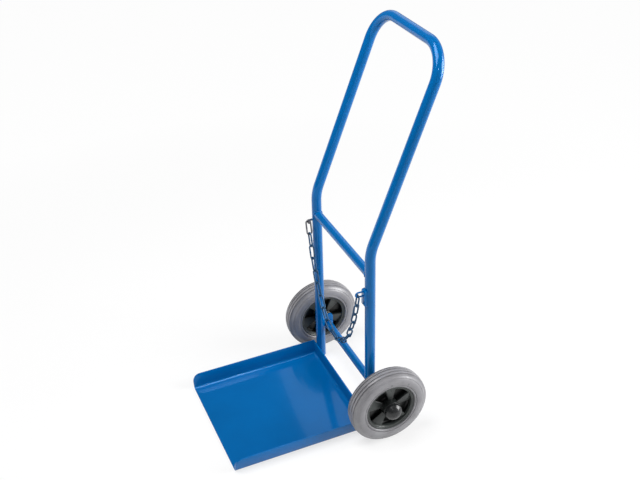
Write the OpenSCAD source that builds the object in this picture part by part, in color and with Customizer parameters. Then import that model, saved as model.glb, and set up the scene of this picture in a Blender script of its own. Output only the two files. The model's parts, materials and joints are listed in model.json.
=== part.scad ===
/* [Tray] */
// Width of the tray floor, which is also the width over the uprights
tray_w = 330; // [280:1:420]
// Depth of the tray from its open front edge to the back lip's rear face
tray_depth = 350; // [250:1:450]
// Thickness of the tray sheet
sheet_t = 3; // [2:0.5:5]
// Height of the upturned lips above the ground
lip_h = 40; // [25:1:70]
// Angle by which the side lips lean outwards
lip_flare = 10; // [0:1:15]
// Inside radius of the folds between floor and lips
fold_r = 6; // [3:0.5:10]
// Radius of the front top corner of each side lip
lip_corner_r = 20; // [8:1:24]

/* [Frame tube] */
// Outside diameter of the bent frame tube
tube_d = 25; // [20:0.5:32]
// Wall of the frame tube
tube_wall = 2; // [1.5:0.25:3]
// Height of the point where the uprights turn into the leaning handle
bend_h = 512; // [490:1:650]
// Angle by which the handle leans back from the vertical
lean = 21.4; // [10:0.1:30]
// Length of the handle from the bend point to the axis of the top bar
handle_len = 477; // [300:1:600]
// Radius of the bends between uprights and handle, on the tube's axis
bend_r = 120; // [60:1:150]
// Amount by which bending draws the tube's wall in from both sides
bend_draw = 0.05; // [0.05:0.01:0.2]
// Angle by which each bend runs on into the straight tubes
bend_lap = 0.5; // [0.2:0.1:0.8]
// Radius of the handle's two top corners, on the tube's axis
corner_r = 75; // [50:1:100]
// Height of the tube's open lower ends above the ground
foot_gap = 3; // [1:0.5:10]

/* [Upper crossbar] */
// Outside diameter of the upper crossbar
crossbar_d = 22; // [16:0.5:24]
// Wall of the upper crossbar
crossbar_wall = 1.5; // [1:0.25:2.5]
// Height of the upper crossbar's axis
crossbar_h = 453; // [445:1:462]

/* [Axle] */
// Diameter of the axle bar, which is also the lower crossbar
axle_d = 20; // [16:0.5:24]
// Thickness of the gusset plates between the uprights and the axle
gusset_t = 5; // [3:0.5:8]
// Height of the gusset plates' rear edge above the axle's axis
gusset_up = 30; // [18:1:45]
// Height of the gusset plates' shoulder on the uprights above the axle's axis
gusset_peak = 60; // [46:1:80]
// Depth of the shoulder's foot behind the uprights
gusset_step = 8; // [4:0.5:12]
// Height of the gusset plates below the axle's axis
gusset_down = 15; // [13:1:30]
// Metal left behind the axle by the gusset plates
gusset_rim = 3.5; // [2:0.5:8]
// Radius of the gusset plates' rear corners
gusset_r = 8; // [3:0.5:12]
// Outside diameter of the collars welded on the axle
collar_d = 30; // [26:0.5:36]
// Width of each collar
collar_w = 2; // [1.5:0.5:5]
// Free space between the tray's width and each collar
collar_gap = 1; // [0.5:0.5:4]

/* [Wheels] */
// Outside diameter of the tyres
wheel_d = 200; // [180:1:220]
// Width of the tyres
tyre_w = 48; // [46:1:52]
// Radius of the tread's crown across the tyre
crown_r = 60; // [45:1:90]
// Height of the round carcass that the crown cuts away
crown_trim = 0.5; // [0.25:0.25:1.5]
// Width of each groove in the tread
groove_w = 3; // [1.5:0.5:4]
// Depth of each groove in the tread
groove_deep = 3; // [1:0.5:5]
// Distance of the inner grooves from the wheel's middle plane
groove_in = 5; // [3.5:0.5:7]
// Distance of the outer grooves from the wheel's middle plane
groove_out = 13.5; // [11:0.5:16]
// Thickness of the round bead ring on the tyre's side
bead_d = 6; // [3:0.5:7]
// Outside diameter of the rim's lips
rim_d = 128; // [116:1:136]
// Width of the rim over its lips
rim_w = 40; // [36:1:42]
// Height of the rim's lips above the tyre seat
rim_lip = 4; // [2:0.5:6]
// Thickness of the rim's barrel under the tyre seat
rim_barrel = 4; // [3:0.5:6]
// Thickness of the rim's lips along the axle
rim_lip_t = 3; // [2:0.5:4]
// Number of fan-shaped spokes in each rim
spokes = 5; // [3:1:8]
// Angle that each spoke takes up at the rim
spoke_span = 34; // [20:1:44]
// Depth of the spokes along the axle
spoke_deep = 26; // [16:1:28]
// Tilt of the spokes about their own length, like fan blades
spoke_tilt = 10; // [0:1:12]
// Turn of the right wheel, from the rear towards the top
turn_right = 16.6; // [0:0.1:360]
// Turn of the left wheel, from the rear towards the top
turn_left = 49; // [0:0.1:360]
// Thickness of the web that closes each rim behind its spokes
web_t = 4; // [2.5:0.5:8]
// Outside diameter of the rim's hub
hub_d = 44; // [44:1:50]
// Length of the rim's hub
hub_len = 56; // [46:1:60]
// Depth to which the spokes run into the hub
spoke_bite = 2; // [1:0.5:4]
// Radial clearance of the hub's bore between the bushes
bore_clear = 0.65; // [0.3:0.05:1.5]

/* [Wheel fittings] */
// Radial running clearance between bushes and axle
run_clear = 0.08; // [0.02:0.01:0.1]
// Axial play on each side of a wheel
end_play = 0.15; // [0.1:0.05:0.5]
// Wall of the bushes pressed into the hub
bush_wall = 3; // [2:0.25:4]
// Depth of each bush in the hub
bush_len = 14; // [8:1:15]
// Diameter of the bushes' flanges
flange_d = 34; // [30:0.5:35]
// Thickness of the bushes' flanges and of the washers
washer_t = 1.5; // [1:0.1:1.5]
// Outside diameter of the washers
washer_d = 30; // [27:0.5:32]
// Radial clearance of the washers and spacers on the axle bar
slip_clear = 0.15; // [0.1:0.05:0.3]
// Outside diameter of the spacer rings
spacer_d = 26; // [24:0.5:30]
// Length of the spacer rings between the collars and the inner washers
spacer_len = 2.85; // [1.5:0.05:12]
// Thickness of the retaining rings
ring_t = 1.2; // [1:0.1:1.5]
// Depth of the retaining ring's groove in the axle
ring_deep = 0.5; // [0.4:0.1:1]
// Width of the retaining ring's band
ring_band = 3.5; // [2.5:0.25:4]
// Open gap of the retaining ring
ring_gap = 8; // [4:0.5:10]
// Length of the axle beyond each retaining ring
axle_tip = 2; // [1:0.25:2.5]
// Free space between the outer washer and the retaining ring
ring_clear = 0.1; // [0.05:0.05:0.3]
// Outside diameter of the hub caps
cap_d = 43; // [40:0.5:44]
// Wall of the hub caps
cap_wall = 1.6; // [1:0.1:2]
// Height of the hub caps' tops above the wheel's middle plane
cap_top = 50; // [48:0.5:56]
// Radius of the hub caps' domes
cap_dome_r = 24; // [24:0.5:40]

/* [Chain] */
// Thickness of the chain's wire
wire_d = 4; // [3:0.25:4.5]
// Inside length of a link
pitch = 33; // [28:1:36]
// Outside width of a link
link_w = 16; // [14:0.5:18]
// Number of links
links = 18; // [16:2:24]
// Angle by which the hanging chain's links are turned about the vertical
chain_twist = 20; // [0:1:24]
// Number of links over which that turn builds up from each end
twist_links = 2; // [2:1:6]
// Free space between the chain's two end links and what they hang on
link_gap = 0.15; // [0.05:0.05:0.3]
// Height of the chain hook's bar on the left upright
hook_h = 433; // [420:1:438]
// Thickness of the hook's rod
hook_d = 5; // [4:0.25:6]
// Distance from the left upright's surface to the axis of the hook's bar
hook_reach = 12; // [8:0.5:16]
// Length of the hook's bar to each side of its middle
hook_half = 8; // [6:0.5:12]
// Height of the hook's turned-up tip
hook_tip = 6; // [5.5:0.5:14]
// Bend radius of the hook's rod
hook_bend = 4; // [3:0.5:5]
// Height of the chain anchor on the right upright
anchor_h = 407; // [380:1:415]
// Width of the anchor's pad
pad_w = 16; // [10:1:20]
// Thickness of the pad in front of the right upright
pad_t = 6; // [4:0.5:10]
// Length of the pad above the anchor's height
pad_up = 10; // [9:1:25]
// Length of the pad below the anchor's height
pad_down = 34; // [15:1:45]
// Radius of the pad's front corners
pad_r = 5; // [1:0.5:5.5]
// Distance that the anchor's loop reaches in front of the pad
loop_reach = 20; // [17:0.5:30]

/* [Hidden] */
$fn = 64;

// The origin is the centre of the tray's underside, +Y points to the rear and +Z up
upright_x = (tray_w - tube_d) / 2;
upright_y = tray_depth / 2 + tube_d / 2;
front_y = -tray_depth / 2;
tube_front = upright_y - tube_d / 2;
axle_y = upright_y + tube_d / 2 + axle_d / 2;
axle_h = wheel_d / 2;
bend_run = bend_r * tan(lean / 2);
handle_side = handle_len - corner_r - bend_run;
cut = 1;

// Stations on the axle, measured outwards from a wheel's middle plane
hub_end = hub_len / 2;
flange_end = hub_end + washer_t;
washer_start = flange_end + end_play;
washer_end = washer_start + washer_t;
ring_start = washer_end + ring_clear;
axle_end = ring_start + ring_t + axle_tip;
collar_in = tray_w / 2 + collar_gap;
spacer_start = collar_in + collar_w;
spacer_end = spacer_start + spacer_len;
track = 2 * (spacer_end + washer_end);
bore_r = axle_d / 2 + slip_clear;
seat_r = axle_d / 2 + bush_wall;

// The tyre's section is a round carcass, cut to the wheel's size by its crown
carcass_r = tyre_w / 2;
carcass_mid = wheel_d / 2 - carcass_r + crown_trim;
rim_r = rim_d / 2;
seat_tyre_r = rim_r - rim_lip;
barrel_in_r = seat_tyre_r - rim_barrel;
spoke_root = hub_d / 2 - spoke_bite;
spoke_end = barrel_in_r + rim_barrel / 2;
rear_turn = 90;

// The chain hangs as a catenary from the hook's bar to the anchor's loop
wire_r = wire_d / 2;
link_bend = (link_w - wire_d) / 2;
link_run = pitch + wire_d - 2 * link_bend;
hook_y = tube_front - hook_reach;
pad_front = tube_front - pad_t;
loop_y = pad_front - loop_reach + wire_r + link_bend;
chain_start = [-upright_x, hook_y, hook_h + hook_d / 2 + link_gap];
chain_end = [upright_x, loop_y, anchor_h - link_bend + wire_r + link_gap];
chain_len = links * pitch;
chain_turn = atan2(chain_end.y - chain_start.y, chain_end.x - chain_start.x);
span = norm([chain_end.x - chain_start.x, chain_end.y - chain_start.y]);
rise = chain_end.z - chain_start.z;
function sinh(x) = (exp(x) - exp(-x)) / 2;
function asinh(x) = ln(x + sqrt(x * x + 1));
// Halves the interval until sinh(x) / x equals k
function sag_root(k, low, high, n) =
    n == 0 ? (low + high) / 2
    : let (mid = (low + high) / 2)
      sinh(mid) / mid < k ? sag_root(k, mid, high, n - 1) : sag_root(k, low, mid, n - 1);
slack = sqrt(chain_len * chain_len - rise * rise) / span;
sag = span / 2 / sag_root(slack, 0.001, 6, 50);
low_u = span / 2 - sag * asinh(rise / (2 * sag * sinh(span / 2 / sag)));
low_s = sag * sinh(low_u / sag);
low_z = chain_start.z - sqrt(sag * sag + low_s * low_s);
// The turn of link i, which is free only away from the chain's two ends
function twist_of(i) = chain_twist * min(1, (i - 1) / twist_links, (links - i) / twist_links);
// A joint of the chain in its own upright plane, s millimetres along the chain
function chain_joint(s) =
    [low_u + sag * asinh((s - low_s) / sag), low_z + sqrt(sag * sag + (s - low_s) * (s - low_s))];

// A round bar bent about the Z axis, from the +X side through an angle
module elbow(radius, angle, bar_r) {
    rotate_extrude(angle = angle) translate([radius, 0]) circle(bar_r);
}

// A round bar that runs along the X axis between two stations
module bar_x(x0, x1, bar_r) {
    translate([x0, 0, 0]) rotate([0, 90, 0]) cylinder(h = x1 - x0, r = bar_r);
}

// The section of the frame tube, with its wall drawn in from both sides
module tube_ring(draw = 0) {
    difference() {
        circle(tube_d / 2 - draw);
        circle(tube_d / 2 - tube_wall + draw);
    }
}

module straight_tube(length) {
    linear_extrude(length) tube_ring();
}

// The bend between an upright and its leaning tube; it runs a little way into both
module bend() {
    translate([upright_x, bend_r, bend_h - bend_run]) rotate([90, 0, -90]) rotate([0, 0, -bend_lap])
        rotate_extrude(angle = lean + 2 * bend_lap) translate([bend_r, 0]) tube_ring(bend_draw);
}

module quarter_tube(radius) {
    rotate_extrude(angle = 90) translate([radius, 0]) tube_ring();
}

// Places children in the leaning plane, on the axes of the tubes where the bends end
module leaning() {
    translate([0, bend_r, bend_h - bend_run]) rotate([-lean, 0, 0]) translate([0, -bend_r, 0]) children();
}

// One upright with its bend, its leaning handle tube and the handle's corner
module side_tube() {
    translate([upright_x, 0, foot_gap]) straight_tube(bend_h - bend_run - foot_gap);
    bend();
    leaning() {
        translate([upright_x, 0, 0]) straight_tube(handle_side);
        translate([upright_x - corner_r, 0, handle_side]) rotate([90, 0, 0]) quarter_tube(corner_r);
    }
}

module frame_tube() {
    top_half = upright_x - corner_r;
    color([0.02, 0.37, 0.67]) translate([0, upright_y, 0]) {
        side_tube();
        mirror([1, 0, 0]) side_tube();
        leaning() translate([-top_half, 0, handle_side + corner_r])
            rotate([0, 90, 0]) straight_tube(2 * top_half);
    }
}

// The uprights' outer surface, for cutting what is welded on to them
module uprights() {
    for (side = [-1, 1])
        translate([side * upright_x, upright_y, 0]) cylinder(h = bend_h - bend_run, r = tube_d / 2);
}

module upper_crossbar() {
    color([0.02, 0.37, 0.67]) difference() {
        translate([0, upright_y, crossbar_h]) bar_x(-upright_x, upright_x, crossbar_d / 2);
        translate([0, upright_y, crossbar_h])
            bar_x(-upright_x - cut, upright_x + cut, crossbar_d / 2 - crossbar_wall);
        uprights();
    }
}

// Places children on the axle with +Z pointing away from the cart's middle
module on_axle(side) {
    translate([0, axle_y, axle_h]) rotate([0, side * 90, 0]) children();
}

module on_wheel(side) {
    on_axle(side) translate([0, 0, track / 2]) children();
}

module sleeve(z0, z1, outer_r, inner_r) {
    translate([0, 0, z0]) difference() {
        cylinder(h = z1 - z0, r = outer_r);
        translate([0, 0, -cut]) cylinder(h = z1 - z0 + 2 * cut, r = inner_r);
    }
}

module axle() {
    color([0.02, 0.37, 0.67]) difference() {
        on_axle(1) translate([0, 0, -track / 2 - axle_end])
            cylinder(h = track + 2 * axle_end, r = axle_d / 2);
        for (side = [-1, 1]) on_wheel(side)
            sleeve(ring_start, ring_start + ring_t, axle_d / 2 + cut, axle_d / 2 - ring_deep);
    }
}

// A plate seen from the side: two round rear corners, and a shoulder that runs up the upright
module gusset_outline() {
    rear = tube_d / 2 + axle_d + gusset_rim;
    low = axle_h - gusset_down;
    high = axle_h + gusset_up;
    step = tube_d / 2 + gusset_step;
    translate([0, low]) square([rear - gusset_r, high - low]);
    translate([0, low + gusset_r]) square([rear, high - low - 2 * gusset_r]);
    for (z = [low + gusset_r, high - gusset_r]) translate([rear - gusset_r, z]) circle(gusset_r);
    peak = axle_h + gusset_peak;
    polygon([[0, axle_h], [step, axle_h], [step, high], [tube_d / 2, peak], [0, peak]]);
}

module gusset(side) {
    color([0.02, 0.37, 0.67]) difference() {
        translate([side * upright_x - gusset_t / 2, upright_y, 0])
            rotate([90, 0, 90]) linear_extrude(gusset_t) gusset_outline();
        uprights();
        translate([0, axle_y, axle_h]) bar_x(-track / 2, track / 2, axle_d / 2);
    }
}

module gusset_left() { gusset(-1); }

module gusset_right() { gusset(1); }

// A trough seen along its length: flat bottom, round folds and leaning sides
module trough(half, floor_z, top, fold) {
    run = fold * tan(45 - lip_flare / 2);
    for (side = [0, 1]) mirror([side, 0]) {
        polygon([
            [0, floor_z],
            [half - run, floor_z],
            [half + run * sin(lip_flare), floor_z + run * cos(lip_flare)],
            [half + (top - floor_z) * tan(lip_flare), top],
            [0, top]
        ]);
        translate([half - run, floor_z + fold]) circle(fold);
    }
}

// The tray seen from the side, with a fold at the rear and rounded front top corners
module tray_side(rear, floor_z, top, fold, front, corner) {
    difference() {
        translate([front, floor_z]) square([rear - front, top - floor_z]);
        translate([rear - fold, floor_z]) square([fold, fold]);
        if (corner > 0) translate([front, top - corner]) square([corner, corner]);
    }
    translate([rear - fold, floor_z + fold]) circle(fold);
    if (corner > 0) translate([front + corner, top - corner]) circle(corner);
}

module tray() {
    rear = tray_depth / 2;
    wide = tray_w + 2 * lip_h;
    inner_half = tray_w / 2 + sheet_t * (tan(lip_flare) - 1 / cos(lip_flare));
    color([0.02, 0.37, 0.67]) difference() {
        intersection() {
            translate([0, rear, 0]) rotate([90, 0, 0]) linear_extrude(tray_depth)
                trough(tray_w / 2, 0, lip_h, fold_r + sheet_t);
            translate([-wide / 2, 0, 0]) rotate([90, 0, 90]) linear_extrude(wide)
                tray_side(rear, 0, lip_h, fold_r + sheet_t, front_y, lip_corner_r);
        }
        intersection() {
            translate([0, rear, 0]) rotate([90, 0, 0]) linear_extrude(tray_depth + cut)
                trough(inner_half, sheet_t, lip_h + cut, fold_r);
            translate([-wide / 2, 0, 0]) rotate([90, 0, 90]) linear_extrude(wide)
                tray_side(rear - sheet_t, sheet_t, lip_h + cut, fold_r, front_y - cut, 0);
        }
    }
}

// A hook of bent rod: an outer leg from the left upright, a bar and a turned-up inner tip
module chain_hook() {
    rod_r = hook_d / 2;
    leg_x = -upright_x - hook_half;
    tip_x = -upright_x + hook_half;
    color([0.6, 0.6, 0.62]) {
        difference() {
            translate([leg_x, upright_y, hook_h]) rotate([90, 0, 0])
                cylinder(h = upright_y - hook_y - hook_bend, r = rod_r);
            uprights();
        }
        translate([leg_x + hook_bend, hook_y + hook_bend, hook_h])
            rotate([0, 0, 180]) elbow(hook_bend, 90, rod_r);
        translate([0, hook_y, hook_h]) bar_x(leg_x + hook_bend, tip_x - hook_bend, rod_r);
        translate([tip_x - hook_bend, hook_y, hook_h + hook_bend])
            rotate([90, 0, 0]) rotate([0, 0, -90]) elbow(hook_bend, 90, rod_r);
        translate([tip_x, hook_y, hook_h + hook_bend])
            cylinder(h = hook_tip - hook_bend, r = rod_r);
    }
}

// The chain's other end: a pad on the right upright and a loop of wire in front of it
module anchor_pad() {
    low = anchor_h - pad_down;
    high = anchor_h + pad_up;
    color([0.02, 0.37, 0.67]) difference() {
        translate([upright_x - pad_w / 2, 0, 0]) rotate([90, 0, 90]) linear_extrude(pad_w) {
            translate([pad_front + pad_r, low]) square([upright_y - pad_front - pad_r, high - low]);
            translate([pad_front, low + pad_r]) square([pad_r, high - low - 2 * pad_r]);
            for (z = [low + pad_r, high - pad_r]) translate([pad_front + pad_r, z]) circle(pad_r);
        }
        uprights();
        translate([upright_x - pad_w, upright_y, low - cut])
            cube([2 * pad_w, tube_d, high - low + 2 * cut]);
    }
}

module anchor_loop() {
    color([0.02, 0.37, 0.67]) translate([upright_x, 0, anchor_h]) {
        for (z = [-link_bend, link_bend])
            translate([0, pad_front, z]) rotate([90, 0, 0])
                cylinder(h = pad_front - loop_y, r = wire_r, $fn = 32);
        translate([0, loop_y, 0]) rotate([90, 0, 90]) rotate([0, 0, 90])
            elbow(link_bend, 180, wire_r, $fn = 32);
    }
}

// A long link that lies along X, flat in the XY plane
module long_link() {
    for (side = [0, 1]) mirror([side, 0, 0])
        translate([link_run / 2, 0, 0]) rotate([0, 0, -90]) elbow(link_bend, 180, wire_r, $fn = 32);
    for (y = [-link_bend, link_bend])
        translate([0, y, 0]) bar_x(-link_run / 2, link_run / 2, wire_r, $fn = 32);
}

// One link between two joints of the chain; each is turned a quarter from the last
module link(i) {
    a = chain_joint((i - 1) * pitch);
    b = chain_joint(i * pitch);
    mid = (a + b) / 2;
    slope = atan2(b.y - a.y, b.x - a.x);
    color(i == 1 ? [0.6, 0.6, 0.62] : [0.05, 0.2, 0.34])
        translate([chain_start.x, chain_start.y, 0]) rotate([0, 0, chain_turn])
            translate([mid.x, 0, mid.y]) rotate([0, -slope, 0])
                rotate([90 * i - 90 + twist_of(i) * sin(slope), 0, 0]) long_link();
}

module collar(side) {
    color([0.02, 0.37, 0.67]) on_axle(side)
        sleeve(collar_in, spacer_start, collar_d / 2, axle_d / 2);
}

module collar_left() { collar(-1); }

module collar_right() { collar(1); }

module spacer(side) {
    color([0.6, 0.6, 0.62]) on_axle(side)
        sleeve(spacer_start, spacer_end, spacer_d / 2, bore_r);
}

module spacer_left() { spacer(-1); }

module spacer_right() { spacer(1); }

module washer(side, z0, z1) {
    color([0.6, 0.6, 0.62]) on_wheel(side) sleeve(z0, z1, washer_d / 2, bore_r);
}

module inner_washer_left() { washer(-1, -washer_end, -washer_start); }

module inner_washer_right() { washer(1, -washer_end, -washer_start); }

module outer_washer_left() { washer(-1, washer_start, washer_end); }

module outer_washer_right() { washer(1, washer_start, washer_end); }

// A spring ring, open at one side, in the axle's groove
module retaining_ring(side) {
    ring_in = axle_d / 2 - ring_deep;
    color([0.25, 0.25, 0.27]) on_wheel(side) difference() {
        sleeve(ring_start, ring_start + ring_t, ring_in + ring_band, ring_in);
        translate([0, -ring_gap / 2, ring_start - cut])
            cube([ring_in + ring_band + cut, ring_gap, ring_t + 2 * cut]);
    }
}

module retaining_ring_left() { retaining_ring(-1); }

module retaining_ring_right() { retaining_ring(1); }

// How far the tread's crown has fallen at a distance z from the middle plane
function crown_drop(z) = crown_r - sqrt(crown_r * crown_r - z * z);

// The tyre's half section: radius along X, width along Y
module tyre_section() {
    difference() {
        union() {
            intersection() {
                translate([carcass_mid, 0]) circle(carcass_r, $fn = 96);
                translate([wheel_d / 2 - crown_r, 0]) circle(crown_r, $fn = 128);
            }
            translate([seat_tyre_r, -rim_w / 2]) square([carcass_mid - seat_tyre_r, rim_w]);
            for (side = [-1, 1])
                translate([rim_r + bead_d / 2, side * rim_w / 2]) circle(bead_d / 2, $fn = 32);
        }
        translate([0, -rim_w / 2]) square([seat_tyre_r, rim_w]);
        for (side = [0, 1]) mirror([0, side]) {
            translate([0, rim_w / 2 - rim_lip_t]) square([rim_r, tyre_w]);
            for (z = [groove_in, groove_out])
                translate([wheel_d / 2 - groove_deep - crown_drop(z), z - groove_w / 2])
                    square([tyre_w, groove_w]);
        }
    }
}

module tyre(side) {
    color([0.57, 0.57, 0.59]) on_wheel(side) rotate_extrude($fn = 128) tyre_section();
}

module tyre_left() { tyre(-1); }

module tyre_right() { tyre(1); }

// The rim's half section: its barrel, its two lips and its web
module rim_section() {
    translate([barrel_in_r, -rim_w / 2]) square([rim_barrel, rim_w]);
    translate([spoke_root, -web_t / 2]) square([spoke_end - spoke_root, web_t]);
    for (z = [-rim_w / 2, rim_w / 2 - rim_lip_t])
        translate([seat_tyre_r, z]) square([rim_lip, rim_lip_t]);
}

// One spoke, a wedge that widens towards the rim and tilts like a fan blade
module spoke() {
    reach = seat_tyre_r;
    half = reach * sin(spoke_span / 2);
    root = hub_d / 2 * sin(spoke_span / 2);
    intersection() {
        rotate([spoke_tilt, 0, 0]) linear_extrude(spoke_deep, center = true)
            polygon([[spoke_root, -root], [reach, -half], [reach, half], [spoke_root, root]]);
        cylinder(h = rim_w, r = spoke_end, center = true, $fn = 128);
    }
}

module rim(side, turn) {
    color([0.17, 0.19, 0.2]) on_wheel(side) difference() {
        union() {
            rotate_extrude($fn = 128) rim_section();
            translate([0, 0, -hub_end]) cylinder(h = hub_len, r = hub_d / 2);
            for (i = [0 : spokes - 1]) rotate([0, 0, turn + i * 360 / spokes]) spoke();
        }
        translate([0, 0, -hub_end - cut]) cylinder(h = hub_len + 2 * cut, r = axle_d / 2 + bore_clear);
        for (z = [-hub_end - cut, hub_end - bush_len])
            translate([0, 0, z]) cylinder(h = bush_len + cut, r = seat_r);
    }
}

module rim_left() { rim(-1, rear_turn - turn_left); }

module rim_right() { rim(1, rear_turn + turn_right); }

// A flanged bush, pressed into one end of the hub; end is -1 inside and 1 outside
module bush(side, end) {
    color([0.85, 0.85, 0.82]) on_wheel(side) mirror([0, 0, end < 0 ? 1 : 0]) difference() {
        union() {
            translate([0, 0, hub_end - bush_len]) cylinder(h = bush_len, r = seat_r);
            translate([0, 0, hub_end]) cylinder(h = washer_t, r = flange_d / 2);
        }
        translate([0, 0, hub_end - bush_len - cut])
            cylinder(h = bush_len + washer_t + 2 * cut, r = axle_d / 2 + run_clear);
    }
}

module inner_bush_left() { bush(-1, -1); }

module outer_bush_left() { bush(-1, 1); }

module inner_bush_right() { bush(1, -1); }

module outer_bush_right() { bush(1, 1); }

// The cap's half section: a dome of one radius on a straight skirt
module cap_section(skirt_r) {
    intersection() {
        translate([0, cap_top - cap_dome_r]) circle(cap_dome_r, $fn = 96);
        translate([0, hub_end]) square([skirt_r, cap_top]);
    }
}

module hub_cap(side) {
    inner_r = cap_d / 2 - cap_wall;
    color([0.1, 0.1, 0.11]) on_wheel(side) rotate_extrude($fn = 96) difference() {
        cap_section(cap_d / 2);
        translate([0, -cap_wall]) cap_section(inner_r);
        translate([0, hub_end - cut]) square([inner_r, 2 * cut]);
    }
}

module hub_cap_left() { hub_cap(-1); }

module hub_cap_right() { hub_cap(1); }

frame_tube();
upper_crossbar();
axle();
gusset_left();
gusset_right();
tray();
chain_hook();
anchor_pad();
anchor_loop();
collar_left();
collar_right();
spacer_left();
spacer_right();
inner_washer_left();
inner_washer_right();
outer_washer_left();
outer_washer_right();
retaining_ring_left();
retaining_ring_right();
tyre_left();
rim_left();
inner_bush_left();
outer_bush_left();
hub_cap_left();
tyre_right();
rim_right();
inner_bush_right();
outer_bush_right();
hub_cap_right();
for (i = [1 : links]) link(i);
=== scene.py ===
"""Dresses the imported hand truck: painted tube and sheet, welds, rubber tyres, plastic rims, chain."""
import json
import math

import bmesh
import bpy
import numpy as np
from mathutils import Matrix, Vector


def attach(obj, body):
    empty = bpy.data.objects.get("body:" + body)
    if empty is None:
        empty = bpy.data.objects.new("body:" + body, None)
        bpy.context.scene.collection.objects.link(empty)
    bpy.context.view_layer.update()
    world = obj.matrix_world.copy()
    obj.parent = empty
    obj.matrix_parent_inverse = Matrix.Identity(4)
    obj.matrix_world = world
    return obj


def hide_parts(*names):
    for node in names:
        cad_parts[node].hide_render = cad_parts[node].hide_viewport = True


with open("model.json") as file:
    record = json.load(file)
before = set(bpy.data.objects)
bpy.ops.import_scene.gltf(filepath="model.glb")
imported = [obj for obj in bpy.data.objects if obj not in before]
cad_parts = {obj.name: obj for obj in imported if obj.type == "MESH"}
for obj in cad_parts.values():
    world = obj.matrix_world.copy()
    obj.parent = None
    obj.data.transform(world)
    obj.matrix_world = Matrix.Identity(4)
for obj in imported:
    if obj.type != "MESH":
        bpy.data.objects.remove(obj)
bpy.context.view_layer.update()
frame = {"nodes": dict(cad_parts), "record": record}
MM = 0.001

# The photograph's camera, solved from the cart's straight edges and wheels: place in metres,
# azimuth, elevation and roll in degrees, focal length and picture width in pixels
CAMERA_AT = Vector((1.7481, -0.5949, 1.6748))
CAMERA_TURN = (67.461, 32.354, -1.778)
FOCAL_PX = 951.0
IMAGE_W = 640
SENSOR_MM = 36.0

# Sizes of the CAD solids that the skins repeat, in millimetres; the turns of the wheels in degrees
TUBE_R = 12.5
TUBE_BORE_R = 10.5
LEAN = math.radians(21.4)
BEND_H = 512.0
BEND_R = 120.0
CORNER_R = 75.0
HANDLE_LEN = 477.0
FOOT_GAP = 3.0
UPRIGHT_X = 152.5
UPRIGHT_Y = 187.5
CROSSBAR_H = 453.0
CROSSBAR_R = 11.0
HOOK_X = -160.5
HOOK_H = 433.0
HOOK_R = 2.5
PAD_FRONT = 169.0
PAD_HALF = 8.0
PAD_LOW = 373.0
PAD_HIGH = 417.0
ANCHOR_H = 407.0
LOOP_R = 6.0
WIRE_R = 2.0
LINK_BEND_R = 6.0
LINK_RUN = 25.0
WHEEL_R = 100.0
AXLE_R = 10.0
AXLE_Y = UPRIGHT_Y + TUBE_R + AXLE_R
AXLE_H = WHEEL_R
HALF_TRACK = 202.0
HUB_END = 28.0
HUB_R = 22.0
HUB_BORE_R = 10.7
CAP_TOP = 50.0
RIM_R = 64.0
RIM_HALF = 20.0
SEAT_R = RIM_R - 4.0
BARREL_R = RIM_R - 8.0
WEB_HALF = 2.0
TURN_RIGHT = 16.6
TURN_LEFT = 49.0
SPOKES = 5

# Edge radii of the sheet and plate pieces
EDGE_RADII = {"tray": 0.7, "gusset_left": 0.8, "gusset_right": 0.8, "anchor_pad": 1.2}

# Welds: the length of a ripple, its share of the bead's radius, and the step along a bead
WELD_PITCH = 3.2
WELD_RIPPLE = 0.16
WELD_STEP = 0.55
# Radii of the beads
CROSSBAR_BEAD = 1.7
GUSSET_BEAD = 1.6
LIP_BEAD = 1.7
HOOK_BEAD = 1.0
LOOP_BEAD = 0.9
PAD_BEAD = 1.4
STITCH_BEAD = 1.5
# How far the beads' axes stand off the edge that they follow, for large seams and for thin rods
SEAM_OFF = 0.4
ROD_SEAM_OFF = 0.3
# The gussets' seams: half the plate, the seams' distance from its middle, along the shoulder,
# below the axle, and the degrees that they turn round the axle
GUSSET_HALF = 2.5
GUSSET_FACE = 3.0
SHOULDER_SEAM = (112.5, 158.0)
LOWER_SEAM = (86.5, 88.5)
AXLE_SEAM_TURN = 224.0
# The seams between the tray's rear lip and the uprights: off the upright's axis, place and ends
LIP_SEAM_X = 6.4
LIP_SEAM_Y = 175.9
LIP_SEAM = (5.0, 37.0)
# Short stitches along the tray's left fold and its rear fold
STITCH_LEN = 18.0
LEFT_FOLD = (-161.8, 5.4)
LEFT_STITCHES = (-152.0, 14.0)
REAR_FOLD = (170.0, 5.0)
REAR_STITCH = -22.0

# Painted shade on the plastic rims: black in the deep pockets and near the hub, grey on the outer faces
# and lips, between these distances from the wheel's middle plane and from its axis
POCKET_SHADE_DEPTH = (8.0, 13.0)
HUB_SHADE_RADIUS = (20.0, 50.0)

# Facets round the tube, the beads and the chain's wire, along the tube's bends and corners, and
# round the turned pieces
TUBE_SIDES = 64
BEAD_SIDES = 14
WIRE_SIDES = 16
BEND_STEPS = 24
CORNER_STEPS = 32
TYRE_FACETS = 160
RIM_FACETS = 128
CAP_FACETS = 96

# The floor's width in metres, and its shade of grey
FLOOR_SIZE = 16.0
FLOOR_GREY = 0.86

# The share of plain white in what the camera sees of the pale floor: near the cart and far away
GLOW_NEAR = 0.70
GLOW_FAR = 0.97
# Distances from the cart's middle, in metres, between which the share rises
GLOW_RISE = (0.25, 1.8)
# Light of the studio's wall on its bright and its dark side, and of the ceiling
WALL_BRIGHT = 0.40
WALL_DARK = 0.08
CEILING_LIGHT = 0.12
# Direction of the wall's bright side, the sine of the height at which wall and ceiling meet, and
# how far to both sides of it they blend
BRIGHT_SIDE = (0.6, 0.8, 0.0)
WALL_TOP = 0.63
WALL_BLEND = 0.06

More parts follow.
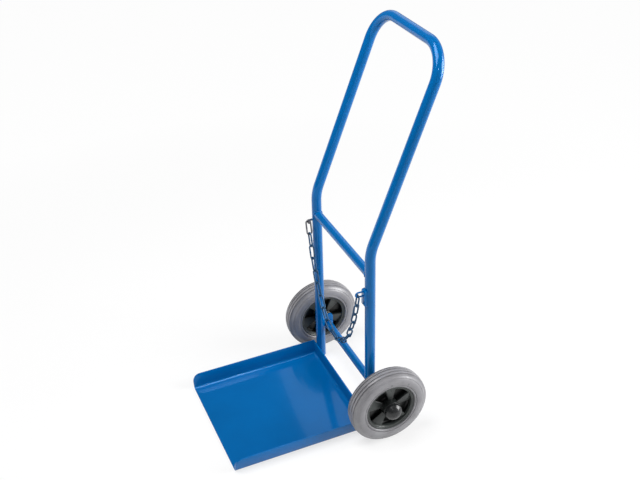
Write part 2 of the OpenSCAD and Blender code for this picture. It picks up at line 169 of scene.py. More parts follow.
# Lamps: name, place, aim, width and height in metres, and power in watts
CART_MIDDLE = (0.0, 0.1, 0.4)
LAMPS = (
    ("top_softbox", (-0.1, -0.7, 2.6), CART_MIDDLE, (1.5, 1.5), 60),
    ("rear_softbox", (1.0, 2.45, 1.15), CART_MIDDLE, (1.5, 1.6), 82),
    ("front_lamp", (2.31, -0.50, 2.83), CART_MIDDLE, (0.22, 0.22), 5),
    ("left_card", (-2.3, 1.35, 2.2), (0.0, 0.1, 0.0), (1.7, 1.5), 6),
)


# ---------------------------------------------------------------- materials

def new_material(name):
    """A material with its shader, and a function that adds nodes to it."""
    mat = bpy.data.materials.new(name)
    mat.use_nodes = True
    tree = mat.node_tree
    shader = tree.nodes["Principled BSDF"]

    def add(kind, settings=None, **inputs):
        """Adds a node; an input that is a socket is linked, any other is set."""
        node = tree.nodes.new(kind)
        for key, value in (settings or {}).items():
            setattr(node, key, value)
        for key, value in inputs.items():
            socket = node.inputs[key.replace("_", " ")]
            if isinstance(value, bpy.types.NodeSocket):
                tree.links.new(value, socket)
            else:
                socket.default_value = value
        return node

    return mat, shader, add


def noise(add, coord, scale, detail, rough=0.5):
    """Cloudy noise, mostly between 0.3 and 0.7."""
    node = add("ShaderNodeTexNoise", Vector=coord, Scale=scale, Detail=detail, Roughness=rough)
    return node.outputs["Fac"]


def between(add, value, low, high):
    """A number that runs from low to high as value runs over a noise's usual range."""
    node = add("ShaderNodeMapRange", Value=value, From_Min=0.3, From_Max=0.7, To_Min=low, To_Max=high)
    return node.outputs["Result"]


def ramp(add, value, stops):
    """A colour that follows value through stops of (place, colour)."""
    node = add("ShaderNodeValToRGB", Fac=value)
    elements = node.color_ramp.elements
    while len(elements) < len(stops):
        elements.new(0.5)
    for element, (at, colour) in zip(elements, stops):
        element.position = at
        element.color = (*colour, 1)
    return node.outputs["Color"]


def bump(add, height, strength, distance, below=None):
    """A bumpy normal from a height, laid over the normal below where there is one."""
    inputs = {"Height": height, "Strength": strength, "Distance": distance}
    if below is not None:
        inputs["Normal"] = below
    return add("ShaderNodeBump", **inputs).outputs["Normal"]


def math_node(add, operation, a, b=0.0):
    """The result of a sum on sockets or numbers; b is left out where the sum needs one value."""
    node = add("ShaderNodeMath", {"operation": operation})
    links = node.id_data.links
    for socket, value in zip(node.inputs, (a, b)):
        if isinstance(value, bpy.types.NodeSocket):
            links.new(value, socket)
        else:
            socket.default_value = value
    return node.outputs["Value"]


def finish_material(mat, shader, colour, rough, normal, **constants):
    """Links a material's colour, roughness and normal, and sets its other values."""
    links = mat.node_tree.links
    links.new(colour, shader.inputs["Base Color"])
    links.new(rough, shader.inputs["Roughness"])
    links.new(normal, shader.inputs["Normal"])
    for key, value in constants.items():
        shader.inputs[key.replace("_", " ")].default_value = value
    return mat


def paint_material():
    """Glossy blue paint: a tinted sheen and a thin clear coat over a faint orange peel."""
    mat, shader, add = new_material("blue_paint")
    at = add("ShaderNodeTexCoord").outputs["Object"]
    tone = noise(add, at, 7.0, 4.0, 0.55)
    colour = ramp(add, tone, [(0.25, (0.0, 0.108, 0.338)), (0.75, (0.0, 0.128, 0.398))])
    rough = between(add, noise(add, at, 45.0, 4.0), 0.11, 0.18)
    peel = bump(add, noise(add, at, 220.0, 2.0), 0.02, 0.0004)
    normal = bump(add, noise(add, at, 24.0, 2.0), 0.04, 0.003, peel)
    return finish_material(
        mat, shader, colour, rough, normal,
        Specular_Tint=(0.0, 0.40, 1.0, 1), Coat_Weight=0.35, Coat_Roughness=0.06)


def tyre_material():
    """Grey solid rubber, clouded, with a fine grain and a dull shine."""
    mat, shader, add = new_material("grey_rubber")
    at = add("ShaderNodeTexCoord").outputs["Object"]
    tone = noise(add, at, 26.0, 6.0, 0.65)
    colour = ramp(add, tone, [(0.25, (0.19, 0.187, 0.20)), (0.75, (0.285, 0.282, 0.30))])
    rough = between(add, noise(add, at, 90.0, 4.0), 0.27, 0.42)
    normal = bump(add, noise(add, at, 900.0, 3.0), 0.15, 0.0004)
    return finish_material(mat, shader, colour, rough, normal, Specular_IOR_Level=0.7)


def moulded_material(name, dark, light, rough_low, rough_high, grain):
    """Moulded plastic: an even colour with a faint cloud and a fine grain."""
    mat, shader, add = new_material(name)
    at = add("ShaderNodeTexCoord").outputs["Object"]
    colour = ramp(add, noise(add, at, 40.0, 4.0), [(0.3, dark), (0.7, light)])
    rough = between(add, noise(add, at, 120.0, 3.0), rough_low, rough_high)
    normal = bump(add, noise(add, at, 1600.0, 2.0), grain, 0.0003)
    return finish_material(mat, shader, colour, rough, normal, Specular_IOR_Level=0.5)


def rim_material():
    """Black plastic with painted shade: black in the deep pockets and near the hub, grey on the outer
    faces and lips where light falls.
    """
    mat, shader, add = new_material("black_plastic")
    at = add("ShaderNodeTexCoord").outputs["Object"]
    place = add("ShaderNodeSeparateXYZ", Vector=at)
    x = math_node(add, "ABSOLUTE", place.outputs["X"])
    depth = math_node(add, "ABSOLUTE", math_node(add, "SUBTRACT", x, HALF_TRACK * MM))
    # Painted shade: the colour darkens from the outer faces down into the pockets
    unshaded_depth = add(
        "ShaderNodeMapRange", Value=depth,
        From_Min=POCKET_SHADE_DEPTH[0] * MM, From_Max=POCKET_SHADE_DEPTH[1] * MM)
    y = math_node(add, "SUBTRACT", place.outputs["Y"], AXLE_Y * MM)
    z = math_node(add, "SUBTRACT", place.outputs["Z"], AXLE_H * MM)
    flat = add("ShaderNodeCombineXYZ", X=y, Y=z)
    radius = add("ShaderNodeVectorMath", {"operation": "LENGTH"}, Vector=flat.outputs["Vector"])
    # Painted shade: the colour darkens towards the hub
    outer = add(
        "ShaderNodeMapRange", Value=radius.outputs["Value"],
        From_Min=HUB_SHADE_RADIUS[0] * MM, From_Max=HUB_SHADE_RADIUS[1] * MM, To_Min=0.25, To_Max=1.0)
    cloud = between(add, noise(add, at, 45.0, 4.0), 0.75, 1.0)
    grey = math_node(add, "MULTIPLY", unshaded_depth.outputs["Result"], cloud)
    grey = math_node(add, "MULTIPLY", grey, outer.outputs["Result"])
    colour = ramp(add, grey, [(0.0, (0.003, 0.004, 0.004)), (1.0, (0.052, 0.060, 0.058))])
    rough = between(add, noise(add, at, 120.0, 3.0), 0.26, 0.38)
    normal = bump(add, noise(add, at, 1600.0, 2.0), 0.10, 0.0003)
    return finish_material(mat, shader, colour, rough, normal, Specular_IOR_Level=0.4)


def metal_material(name, dark, light, metallic, rough_low, rough_high):
    """Plated or coated steel, blotched, with fine scratches along its surface."""
    mat, shader, add = new_material(name)
    at = add("ShaderNodeTexCoord").outputs["Object"]
    colour = ramp(add, noise(add, at, 160.0, 6.0, 0.7), [(0.3, dark), (0.7, light)])
    rough = between(add, noise(add, at, 300.0, 4.0), rough_low, rough_high)
    normal = bump(add, noise(add, at, 1100.0, 3.0), 0.18, 0.0003)
    return finish_material(mat, shader, colour, rough, normal, Metallic=metallic)


MATERIALS = {
    "blue_paint": paint_material(),
    "grey_rubber": tyre_material(),
    "black_plastic": rim_material(),
    "cap_plastic": moulded_material(
        "cap_plastic", (0.010, 0.011, 0.012), (0.018, 0.019, 0.020), 0.20, 0.30, 0.05),
    "bush_plastic": moulded_material(
        "bush_plastic", (0.50, 0.50, 0.47), (0.60, 0.60, 0.57), 0.35, 0.50, 0.08),
    "bright_zinc": metal_material(
        "bright_zinc", (0.11, 0.11, 0.125), (0.20, 0.20, 0.22), 0.85, 0.28, 0.42),
    "spring_steel": metal_material(
        "spring_steel", (0.06, 0.06, 0.065), (0.12, 0.12, 0.13), 0.9, 0.30, 0.45),
    "dark_chain": metal_material(
        "dark_chain", (0.004, 0.050, 0.118), (0.008, 0.077, 0.182), 0.3, 0.28, 0.42),
}


# ---------------------------------------------------------------- mesh helpers

def add_piece(name, bm, body, slot, replaces=(), smooth=35.0):
    """Makes a piece from a bmesh in millimetres, in the row frame, and fixes it to its body."""
    bmesh.ops.recalc_face_normals(bm, faces=bm.faces)
    bm.transform(Matrix.Scale(MM, 4))
    mesh = bpy.data.meshes.new(name)
    bm.to_mesh(mesh)
    bm.free()
    mesh.materials.append(MATERIALS[slot])
    mesh.polygons.foreach_set("use_smooth", [True] * len(mesh.polygons))
    mesh.set_sharp_from_angle(angle=math.radians(smooth))
    piece = bpy.data.objects.new(name, mesh)
    bpy.context.scene.collection.objects.link(piece)
    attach(piece, body)
    if replaces:
        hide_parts(*replaces)


def arc(centre, start, axis, angle, count):
    """Points that turn start about an axis through centre, from 0 to angle in radians."""
    centre, spoke = Vector(centre), Vector(start) - Vector(centre)
    return [centre + Matrix.Rotation(angle * i / count, 3, axis) @ spoke for i in range(count + 1)]


def sweep(bm, path, radius, sides, closed=False, caps=True, first=None):
    """Sweeps a round section along a path; first is the direction of the section's first point."""
    count = len(path)
    radii = one_each(radius, count)
    side = Vector(first) if first is not None else None
    rings = []
    for i, at in enumerate(path):
        ahead = path[(i + 1) % count] if closed or i < count - 1 else at
        behind = path[i - 1] if closed or i > 0 else at
        along = (ahead - behind).normalized()
        if side is None:
            side = along.orthogonal()
        side = (side - side.dot(along) * along).normalized()
        other = along.cross(side)
        ring = []
        for k in range(sides):
            t = 2 * math.pi * k / sides
            offset = side * math.cos(t) + other * math.sin(t)
            ring.append(bm.verts.new(at + offset * radii[i]))
        rings.append(ring)
    for i in range(count if closed else count - 1):
        a, b = rings[i], rings[(i + 1) % count]
        for k in range(sides):
            n = (k + 1) % sides
            bm.faces.new((a[k], a[n], b[n], b[k]))
    if caps and not closed:
        bm.faces.new(rings[0][::-1])
        bm.faces.new(rings[-1])
    return rings


def lathe(bm, outline, segments, matrix, closed=False):
    """Turns an outline of (radius, height) points about the local Z axis; radius 0 gives a pole."""
    rings = []
    for radius, height in outline:
        if radius < 1e-6:
            rings.append([bm.verts.new(matrix @ Vector((0, 0, height)))])
            continue
        rings.append([
            bm.verts.new(matrix @ Vector((
                radius * math.cos(2 * math.pi * k / segments),
                radius * math.sin(2 * math.pi * k / segments),
                height)))
            for k in range(segments)])
    pairs = list(zip(rings, rings[1:])) + ([(rings[-1], rings[0])] if closed else [])
    for a, b in pairs:
        for k in range(segments):
            n = (k + 1) % segments
            if len(a) == 1 and len(b) > 1:
                bm.faces.new((a[0], b[n], b[k]))
            elif len(b) == 1 and len(a) > 1:
                bm.faces.new((a[k], a[n], b[0]))
            elif len(a) > 1:
                bm.faces.new((a[k], a[n], b[n], b[k]))


def rounded(points, radius, closed=True):
    """An outline with its corners rounded; radius is one number, or one for each point."""
    steps = 4
    count = len(points)
    radii = one_each(radius, count)
    out = []
    for i, point in enumerate(points):
        if not closed and i in (0, count - 1):
            out.append(tuple(point))
            continue
        here = Vector(point)
        before, after = Vector(points[i - 1]) - here, Vector(points[(i + 1) % count]) - here
        half = before.angle(after) / 2
        reach = min(radii[i] / max(math.tan(half), 1e-6), before.length * 0.49, after.length * 0.49)
        if radii[i] <= 0 or half > math.radians(89):
            out.append(tuple(point))
            continue
        a, b = here + before.normalized() * reach, here + after.normalized() * reach
        for k in range(steps + 1):
            t = k / steps
            out.append(tuple(a * (1 - t) ** 2 + here * 2 * t * (1 - t) + b * t * t))
    return out


def one_each(radius, count):
    """A list of radii, from one number for all or from a list with one for each point."""
    return list(radius) if hasattr(radius, "__len__") else [radius] * count


def softened(node, width):
    """A copy of a CAD node's mesh, in millimetres, with its faces joined and sharp edges rounded."""
    sharp = math.radians(30.0)
    bm = bmesh.new()
    bm.from_mesh(frame["nodes"][node].data)
    bm.transform(Matrix.Scale(1 / MM, 4))
    bmesh.ops.remove_doubles(bm, verts=bm.verts, dist=0.002)
    bmesh.ops.dissolve_limit(bm, angle_limit=math.radians(0.5), verts=bm.verts, edges=bm.edges)
    edges = [e for e in bm.edges if len(e.link_faces) == 2 and e.calc_face_angle(0) > sharp]
    bmesh.ops.bevel(
        bm, geom=edges, offset=width, segments=2, profile=0.5, affect="EDGES", clamp_overlap=True)
    return bm


# ---------------------------------------------------------------- frame

def frame_path():
    """The frame tube's axis, from the left foot over the handle to the right foot."""
    run = BEND_R * math.tan(LEAN / 2)
    up, lean = Vector((0, 0, 1)), Vector((0, math.sin(LEAN), math.cos(LEAN)))
    bend_at = Vector((UPRIGHT_X, UPRIGHT_Y, BEND_H))
    side = [Vector((UPRIGHT_X, UPRIGHT_Y, FOOT_GAP))]
    start = bend_at - up * run
    side += arc(start + Vector((0, BEND_R, 0)), start, (-1, 0, 0), LEAN, BEND_STEPS)
    corner = bend_at + lean * (HANDLE_LEN - CORNER_R)
    across = Vector((-1, 0, 0))
    side += arc(corner + across * CORNER_R, corner, lean.cross(across), math.pi / 2, CORNER_STEPS)
    left = [Vector((-p.x, p.y, p.z)) for p in side]
    return left + side[::-1]


def build_frame_tube():
    """The bent tube, with the open ends of its bore in both feet."""
    bore = Vector((0, 0, 60.0))
    path = frame_path()
    bm = bmesh.new()
    rings = sweep(bm, path, TUBE_R, TUBE_SIDES, caps=False)
    for ring, at in ((rings[0], path[0]), (rings[-1], path[-1])):
        mouth = sweep(bm, [at, at + bore], TUBE_BORE_R, TUBE_SIDES, caps=False)
        bmesh.ops.bridge_loops(bm, edges=loop_edges(ring) + loop_edges(mouth[0]))
        bm.faces.new(mouth[1])
    add_piece("frame_tube_skin", bm, "frame", "blue_paint", ["frame_tube"])


def loop_edges(ring):
    """The edges between neighbouring points of a closed ring."""
    count = len(ring)
    edges = []
    for k in range(count):
        ends = {ring[k], ring[(k + 1) % count]}
        edges += [e for e in ring[k].link_edges if set(e.verts) == ends]
    return edges


def build_plates():
    """Tray, gussets and pad, with the small radii that cut and painted steel has."""
    for node, width in EDGE_RADII.items():
        add_piece(f"{node}_skin", softened(node, width), "frame", "blue_paint", [node])


# ---------------------------------------------------------------- welds

def weld(name, paths, radius, closed=False):
    """Weld beads along paths on the frame: a rounded seam with the ripples of its passes."""
    bm = bmesh.new()
    for path in paths:
        dense = resampled(path, WELD_STEP, closed)
        last = len(dense) - 1
        radii = []
        for i in range(len(dense)):
            wave = math.sin(2 * math.pi * i * WELD_STEP / WELD_PITCH)
            wander = 0.07 * math.sin(i * 0.37) + 0.05 * math.sin(i * 0.113 + 1.3)
            end = 1.0 if closed else min(1.0, 0.35 + 0.3 * min(i, last - i))
            radii.append(radius * (1 + WELD_RIPPLE * wave + wander) * end)
        sweep(bm, dense, radii, BEAD_SIDES, closed=closed)
    add_piece(name, bm, "frame", "blue_paint", smooth=60.0)


def resampled(path, step, closed):
    """Points along a path at even distances, as near to step as its length allows."""
    points = [Vector(p) for p in path] + ([Vector(path[0])] if closed else [])
    lengths = [(b - a).length for a, b in zip(points, points[1:])]
    total = sum(lengths)
    count = max(int(round(total / step)), 3)
    out, i, done = [], 0, 0.0
    for k in range(count if closed else count + 1):
        target = total * k / count
        while i < len(lengths) - 1 and done + lengths[i] < target:
            done += lengths[i]
            i += 1
        t = (target - done) / lengths[i] if lengths[i] else 0
        out.append(points[i].lerp(points[i + 1], min(max(t, 0), 1)))
    return out


def crossbar_seam(side):
    """Where the upper crossbar's end meets the upright's round wall."""
    seam = []
    count, sunk = 48, 0.5
    radius = CROSSBAR_R + SEAM_OFF
    for k in range(count):
        t = 2 * math.pi * k / count
        y, z = radius * math.cos(t), radius * math.sin(t)
        x = UPRIGHT_X - math.sqrt(max(TUBE_R ** 2 - y ** 2, 0)) - sunk
        seam.append((side * x, UPRIGHT_Y + y, CROSSBAR_H + z))
    return seam


def tube_front(offset):
    """Y of an upright's front surface at a distance to the side of its axis."""
    return UPRIGHT_Y - math.sqrt(TUBE_R ** 2 - offset ** 2)


def ring_xz(x, z, radius, front):
    """A ring round (x, z), laid on the surface whose Y at a place across is given by front."""
    points = []
    count = 24
    for k in range(count):
        t = 2 * math.pi * k / count
        across = x + radius * math.cos(t)
        points.append((across, front(across) - ROD_SEAM_OFF, z + radius * math.sin(t)))
    return points


def gusset_seams(x0):
    """Both faces of a gusset: down its upright, in two runs, and round the axle."""
    seam_y = UPRIGHT_Y + math.sqrt(TUBE_R ** 2 - GUSSET_HALF ** 2)
    steps = 40
    turn = math.radians(AXLE_SEAM_TURN)
    to_axle_seam = Matrix.Rotation(-turn / 2, 3, "X") @ Vector((0, AXLE_R + SEAM_OFF, 0))
    lines, rings = [], []
    for x in (x0 - GUSSET_FACE, x0 + GUSSET_FACE):
        for low, high in (SHOULDER_SEAM, LOWER_SEAM):
            lines.append([(x, seam_y, low), (x, seam_y, high)])
        centre = Vector((x, AXLE_Y, AXLE_H))
        rings.append(arc(centre, centre + to_axle_seam, (1, 0, 0), turn, steps))
    return lines + rings


def build_welds():
    """The seams at both uprights: crossbar, gusset and the tray's rear lip."""
    for side, name in ((-1, "left"), (1, "right")):
        x0 = side * UPRIGHT_X
        weld(f"weld_crossbar_{name}", [crossbar_seam(side)], CROSSBAR_BEAD, closed=True)
        weld(f"weld_gusset_{name}", gusset_seams(x0), GUSSET_BEAD)
        lip = [
            [(x0 + dx, LIP_SEAM_Y, end) for end in LIP_SEAM]
            for dx in (-LIP_SEAM_X, LIP_SEAM_X)]
        weld(f"weld_lip_{name}", lip, LIP_BEAD)


def build_small_welds():
    """The seams of the hook, the pad and its loop, and the tray's short stitches."""
    hook_r, loop_r = HOOK_R + ROD_SEAM_OFF, WIRE_R + ROD_SEAM_OFF
    hook = ring_xz(HOOK_X, HOOK_H, hook_r, lambda x: tube_front(x + UPRIGHT_X))
    weld("weld_hook", [hook], HOOK_BEAD, closed=True)
    loop = [
        ring_xz(UPRIGHT_X, ANCHOR_H + z, loop_r, lambda x: PAD_FRONT)
        for z in (-LOOP_R, LOOP_R)]
    weld("weld_loop", loop, LOOP_BEAD, closed=True)
    seam_x, seam_y = PAD_HALF + 0.5, tube_front(PAD_HALF) - SEAM_OFF
    ends = (PAD_LOW + 1.0, PAD_HIGH - 1.0)
    pad = [[(UPRIGHT_X + dx, seam_y, end) for end in ends] for dx in (-seam_x, seam_x)]
    weld("weld_pad", pad, PAD_BEAD)
    fold_x, fold_z = LEFT_FOLD
    stitches = [[(fold_x, y, fold_z), (fold_x, y + STITCH_LEN, fold_z)] for y in LEFT_STITCHES]
    stitches.append([(REAR_STITCH, *REAR_FOLD), (REAR_STITCH + STITCH_LEN, *REAR_FOLD)])
    weld("weld_stitches", stitches, STITCH_BEAD)


# ---------------------------------------------------------------- wheels

def wheel_matrix(side):
    """From a wheel's own axes, Z pointing away from the cart, to the row frame, in millimetres."""
    turn = Matrix.Rotation(side * math.pi / 2, 4, "Y")
    return Matrix.Translation((side * HALF_TRACK, AXLE_Y, AXLE_H)) @ turn


def mirrored(half):
    """A closed outline from its half, mirrored at the wheel's middle plane."""
    return half + [(r, -z) for r, z in half[:0:-1]]


def crown(z):
    """The tread's radius at a height off the tyre's middle plane."""
    radius = 60.0
    return WHEEL_R - radius + math.sqrt(radius ** 2 - z ** 2)


def tread_groove(z):
    """A groove round the tread at height z: a flat floor, steep walls and eased shoulders."""
    low = crown(z) - 3.0

    def wall(way):
        """One side of the groove, from its floor up to the tread."""
        return [
            (low, z + way * 0.9), (low + 0.4, z + way * 1.35),
            (crown(z + way * 1.5) - 0.5, z + way * 1.5), (crown(z + way * 1.9), z + way * 1.9)]

    return wall(-1)[::-1] + wall(1)


def tyre_outline():
    """Half of the tyre's outline, from the tread's middle down to the seat, as (radius, height)."""
    grooves = (5.0, 13.5)
    outline = [(crown(0), 0.0)]
    for z in grooves:
        outline += tread_groove(z)
    wall_r, wall_bend = 76.5, 24.0
    shoulder = [on_circle(wall_r, 0.0, wall_bend, degrees) for degrees in (48, 40, 33, 30)]
    ledge = [(wall_r + 11.2, 20.4), (wall_r + 9.8, 21.3)]
    side = [on_circle(wall_r, 0.0, wall_bend, degrees) for degrees in (20, 12, 4, -4, -12, -15)]
    ring_r = 3.0
    ring = [on_circle(RIM_R + ring_r, RIM_HALF, ring_r, degrees) for degrees in range(66, -100, -14)]
    seat = [(RIM_R + 0.2, 19.0), (RIM_R + 0.2, 16.8), (SEAT_R, 16.8)]
    return outline + shoulder + ledge + side + ring + seat


def on_circle(middle_r, middle_z, radius, degrees):
    """A point of an outline, turned from the axle's direction outwards."""
    a = math.radians(degrees)
    return middle_r + radius * math.sin(a), middle_z + radius * math.cos(a)


def build_tyre(side, name):
    """A solid tyre with two grooves on each half, a ledge on its shoulder and a ring at the rim."""
    outline = mirrored(tyre_outline())
    bm = bmesh.new()
    lathe(bm, outline, TYRE_FACETS, wheel_matrix(side), closed=True)
    add_piece(f"tyre_{name}_skin", bm, f"wheel_{name}", "grey_rubber", [f"tyre_{name}"], 40.0)


def rim_outline():
    """Half of the rim's ring, from the seat's middle over the lip to the barrel's inside."""
    flange_in, step_h, step_end, fillet = 17.0, 18.8, 16.4, 1.8
    half = [
        (SEAT_R, 0.0), (SEAT_R, flange_in), (RIM_R, flange_in), (RIM_R, RIM_HALF),
        (RIM_R - 3, RIM_HALF), (RIM_R - 4.2, step_h), (RIM_R - 6.6, step_h),
        (BARREL_R, step_end), (BARREL_R, WEB_HALF + fillet), (BARREL_R - fillet, WEB_HALF)]
    return rounded(half, [0, 0.8, 0.8, 1.0, 0.8, 0.8, 0.8, 1.2, 0.6, 0], closed=False)


def hub_outline():
    """Half of the hub, from its fillet on the web to the mouth of its bore."""
    fillet, edge = 1.6, 1.0
    return [
        (HUB_R + fillet, WEB_HALF), (HUB_R, WEB_HALF + fillet), (HUB_R, HUB_END - edge),
        (HUB_R - edge, HUB_END), (HUB_BORE_R, HUB_END)]


def build_rim(side, name, turn):
    """Ring, web and hub as one turned body, with the spokes let into it."""
    matrix = wheel_matrix(side)
    outline = mirrored(rim_outline() + hub_outline())
    bm = bmesh.new()
    lathe(bm, outline, RIM_FACETS, matrix, closed=True)
    for i in range(SPOKES):
        add_spoke(bm, matrix @ Matrix.Rotation(math.radians(turn + i * 360 / SPOKES), 4, "Z"))
    add_piece(f"rim_{name}_skin", bm, f"wheel_{name}", "black_plastic", [f"rim_{name}"], 35.0)


def add_spoke(bm, matrix):
    """A fan blade of a spoke: a wedge, tilted about its own length, with rounded edges."""
    half_span, tilt, deep, edge = math.radians(17.0), math.radians(10.0), 13.0, 1.6
    turn = matrix @ Matrix.Rotation(tilt, 4, "X")
    rings = []
    for r in (20.0, 26.0, 36.0, 47.0, RIM_R - 6.5):
        half = max(r, HUB_R) * math.sin(half_span)
        section = rounded([(-half, -deep), (half, -deep), (half, deep), (-half, deep)], edge)
        rings.append([bm.verts.new(turn @ Vector((r, y, z))) for y, z in section])
    for a, b in zip(rings, rings[1:]):
        for k in range(len(a)):
            n = (k + 1) % len(a)
            bm.faces.new((a[k], a[n], b[n], b[k]))
    bm.faces.new(rings[0][::-1])
    bm.faces.new(rings[-1])


def build_cap(side, name):
    """The hub cap: a dome on a short skirt, open towards the hub."""
    dome_r, skirt_r, wall, shoulder = 24.0, 21.5, 1.6, 1.2
    centre = CAP_TOP - dome_r
    edge = math.asin(skirt_r / dome_r)
    # The dome's last eighth is left to the rounded shoulder
    outer = [dome_point(dome_r, centre, edge * k / 16) for k in range(15)]
    corner = [outer[-1], (skirt_r, centre + dome_r * math.cos(edge)), (skirt_r, HUB_END)]
    outer += rounded(corner, shoulder, closed=False)[1:]
    inner_edge = math.asin((skirt_r - wall) / dome_r)
    inner = [dome_point(dome_r, centre - wall, inner_edge * k / 10) for k in range(11)]
    outline = outer + [(skirt_r - wall, HUB_END)] + inner[::-1]
    bm = bmesh.new()
    lathe(bm, outline, CAP_FACETS, wheel_matrix(side))
    add_piece(f"hub_cap_{name}_skin", bm, f"wheel_{name}", "cap_plastic", [f"hub_cap_{name}"], 40.0)


def dome_point(radius, centre, angle):
    """A point of a dome's outline at an angle from the axis, as (radius, height)."""
    return radius * math.sin(angle), centre + radius * math.cos(angle)


# ---------------------------------------------------------------- chain

def link_axes(node):
    """A link's centre, its long direction and its flat's normal, measured on the CAD node."""
    co = np.array([v.co for v in frame["nodes"][node].data.vertices], float) / MM
    low, high = co.min(0), co.max(0)
    centre = (low + high) / 2
    directions = np.linalg.eigh(np.cov((co - centre).T))[1]
    return Vector(centre), Vector(directions[:, 2]), Vector(directions[:, 0])


def build_link(index, slot):
    """A long link of round wire, closed by a weld that swells one of its legs."""
    steps, swelling, seam_half = 16, 0.16, 1.7
    node = f"link_{index}"
    centre, along, normal = link_axes(node)
    across = normal.cross(along)
    path = []
    for end in (1, -1):
        for k in range(steps + 1):
            t = math.pi * k / steps - math.pi / 2
            reach = LINK_RUN / 2 + LINK_BEND_R * math.cos(t)
            path.append(centre + along * end * reach + across * end * LINK_BEND_R * math.sin(t))
    points = resampled(path, 1.0, True)
    radii = []
    for p in points:
        offset = (p - centre).dot(along)
        at_seam = (p - centre).dot(across) > 0
        swell = swelling * math.exp(-(offset / seam_half) ** 2) if at_seam else 0
        radii.append(WIRE_R * (1 + swell))
    bm = bmesh.new()
    sweep(bm, points, radii, WIRE_SIDES, closed=True, first=normal)
    add_piece(f"{node}_skin", bm, "chain", slot, [node], 60.0)


# ---------------------------------------------------------------- studio

def build_floor():
    """A pale floor that keeps the cart's shadow near it and fades to plain white far away."""
    bpy.ops.mesh.primitive_plane_add(size=FLOOR_SIZE)
    floor = bpy.context.object
    floor.name = "studio_floor"
    mat, shader, add = new_material("pale_floor")
    tree = mat.node_tree
    shader.inputs["Base Color"].default_value = (FLOOR_GREY, FLOOR_GREY, FLOOR_GREY, 1)
    shader.inputs["Roughness"].default_value = 0.9
    shader.inputs["Specular IOR Level"].default_value = 0.1
    glow = add("ShaderNodeEmission", Color=(1, 1, 1, 1), Strength=1.0)
    at = add("ShaderNodeTexCoord").outputs["Object"]
    away = add("ShaderNodeVectorMath", {"operation": "LENGTH"}, Vector=at).outputs["Value"]
    share = add(
        "ShaderNodeMapRange", Value=away, From_Min=GLOW_RISE[0], From_Max=GLOW_RISE[1],
        To_Min=GLOW_NEAR, To_Max=GLOW_FAR).outputs["Result"]
    mix = add("ShaderNodeMixShader", Fac=seen_rays(add, share))
    tree.links.new(shader.outputs["BSDF"], mix.inputs[1])
    tree.links.new(glow.outputs["Emission"], mix.inputs[2])
    tree.links.new(mix.outputs["Shader"], tree.nodes["Material Output"].inputs["Surface"])
    floor.data.materials.append(mat)


def seen_rays(add, share):
    """The share of its own light that a surface shows to camera, glossy and transmission rays."""
    path = add("ShaderNodeLightPath")
    total = path.outputs["Is Camera Ray"]
    for name in ("Is Glossy Ray", "Is Transmission Ray"):
        total = math_node(add, "MAXIMUM", total, path.outputs[name])
    return math_node(add, "MULTIPLY", total, share)


def build_world():
    """A studio whose wall is bright on one side, under a dim ceiling; the camera sees it white."""
    world = bpy.data.worlds.new("studio")
    bpy.context.scene.world = world
    world.use_nodes = True
    tree = world.node_tree
    at = tree.nodes.new("ShaderNodeTexCoord").outputs["Generated"]
    split = tree.nodes.new("ShaderNodeSeparateXYZ")
    facing = tree.nodes.new("ShaderNodeVectorMath")
    facing.operation = "DOT_PRODUCT"
    facing.inputs[1].default_value = BRIGHT_SIDE
    tree.links.new(at, split.inputs["Vector"])
    tree.links.new(at, facing.inputs[0])
    wall = ranged(tree, facing.outputs["Value"], -1.0, 1.0, WALL_DARK, WALL_BRIGHT)
    light = ranged(
        tree, split.outputs["Z"], WALL_TOP - WALL_BLEND, WALL_TOP + WALL_BLEND, wall, CEILING_LIGHT)
    seen = tree.nodes.new("ShaderNodeMath")
    seen.operation = "MAXIMUM"
    tree.links.new(light, seen.inputs[0])
    tree.links.new(tree.nodes.new("ShaderNodeLightPath").outputs["Is Camera Ray"], seen.inputs[1])
    tree.links.new(seen.outputs["Value"], tree.nodes["Background"].inputs["Color"])


def ranged(tree, value, from_min, from_max, to_min, to_max):
    """Maps a value from one range to another; the new range's start may be a socket."""
    node = tree.nodes.new("ShaderNodeMapRange")
    node.inputs["From Min"].default_value = from_min
    node.inputs["From Max"].default_value = from_max
    node.inputs["To Max"].default_value = to_max
    tree.links.new(value, node.inputs["Value"])
    if isinstance(to_min, bpy.types.NodeSocket):
        tree.links.new(to_min, node.inputs["To Min"])
    else:
        node.inputs["To Min"].default_value = to_min
    return node.outputs["Result"]


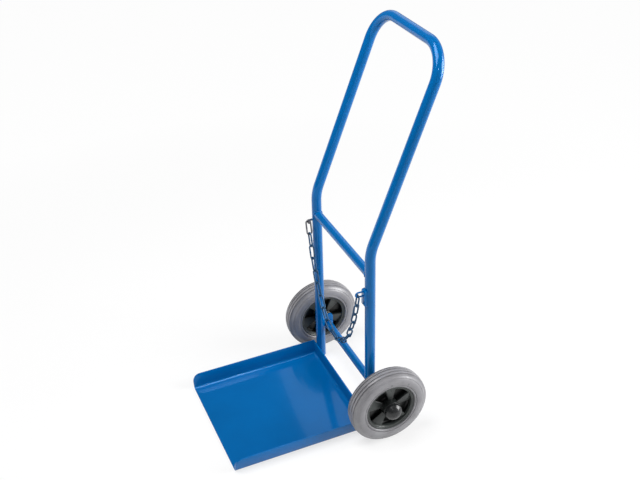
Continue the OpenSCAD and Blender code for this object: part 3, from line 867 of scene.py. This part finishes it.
def add_lamp(name, at, target, size, power):
    """A rectangular area lamp that is aimed at a target."""
    light = bpy.data.lights.new(name, "AREA")
    light.shape = "RECTANGLE"
    light.size, light.size_y = size
    light.energy = power
    lamp = bpy.data.objects.new(name, light)
    bpy.context.scene.collection.objects.link(lamp)
    lamp.location = at
    lamp.rotation_euler = (Vector(target) - Vector(at)).to_track_quat("-Z", "Y").to_euler()


def build_camera():
    """The photograph's camera; azimuth is measured from the cart's front towards its right side."""
    azimuth, elevation, roll = (math.radians(x) for x in CAMERA_TURN)
    level = Vector((math.sin(azimuth), -math.cos(azimuth), 0))
    back = level * math.cos(elevation) + Vector((0, 0, math.sin(elevation)))
    right = Vector((math.cos(azimuth), math.sin(azimuth), 0))
    up = back.cross(right)
    turned_right = right * math.cos(roll) + up * math.sin(roll)
    turned_up = up * math.cos(roll) - right * math.sin(roll)
    data = bpy.data.cameras.new("camera")
    data.sensor_width = SENSOR_MM
    data.lens = FOCAL_PX / IMAGE_W * SENSOR_MM
    data.clip_end = 50
    camera = bpy.data.objects.new("camera", data)
    bpy.context.scene.collection.objects.link(camera)
    basis = Matrix((turned_right, turned_up, back)).transposed().to_4x4()
    camera.matrix_world = Matrix.Translation(CAMERA_AT) @ basis
    bpy.context.scene.camera = camera


# ---------------------------------------------------------------- assembly

def dress_nodes():
    """Gives every CAD node its slot's material."""
    slots = {s["node"]: s["material_slot"] for s in frame["record"]["subparts"]}
    for name, node in frame["nodes"].items():
        node.data.materials.clear()
        node.data.materials.append(MATERIALS[slots[name]])


def main():
    """Dresses the cart piece by piece, then builds the studio round it."""
    dress_nodes()
    build_frame_tube()
    build_plates()
    build_welds()
    build_small_welds()
    for side, name, turn in ((-1, "left", 90 - TURN_LEFT), (1, "right", 90 + TURN_RIGHT)):
        build_tyre(side, name)
        build_rim(side, name, turn)
        build_cap(side, name)
    links = sum(node.startswith("link_") for node in frame["nodes"])
    for index in range(1, links + 1):
        build_link(index, "bright_zinc" if index == 1 else "dark_chain")
    build_floor()
    build_world()
    for lamp in LAMPS:
        add_lamp(*lamp)
    build_camera()
    bpy.context.scene.view_settings.view_transform = "Standard"


main()
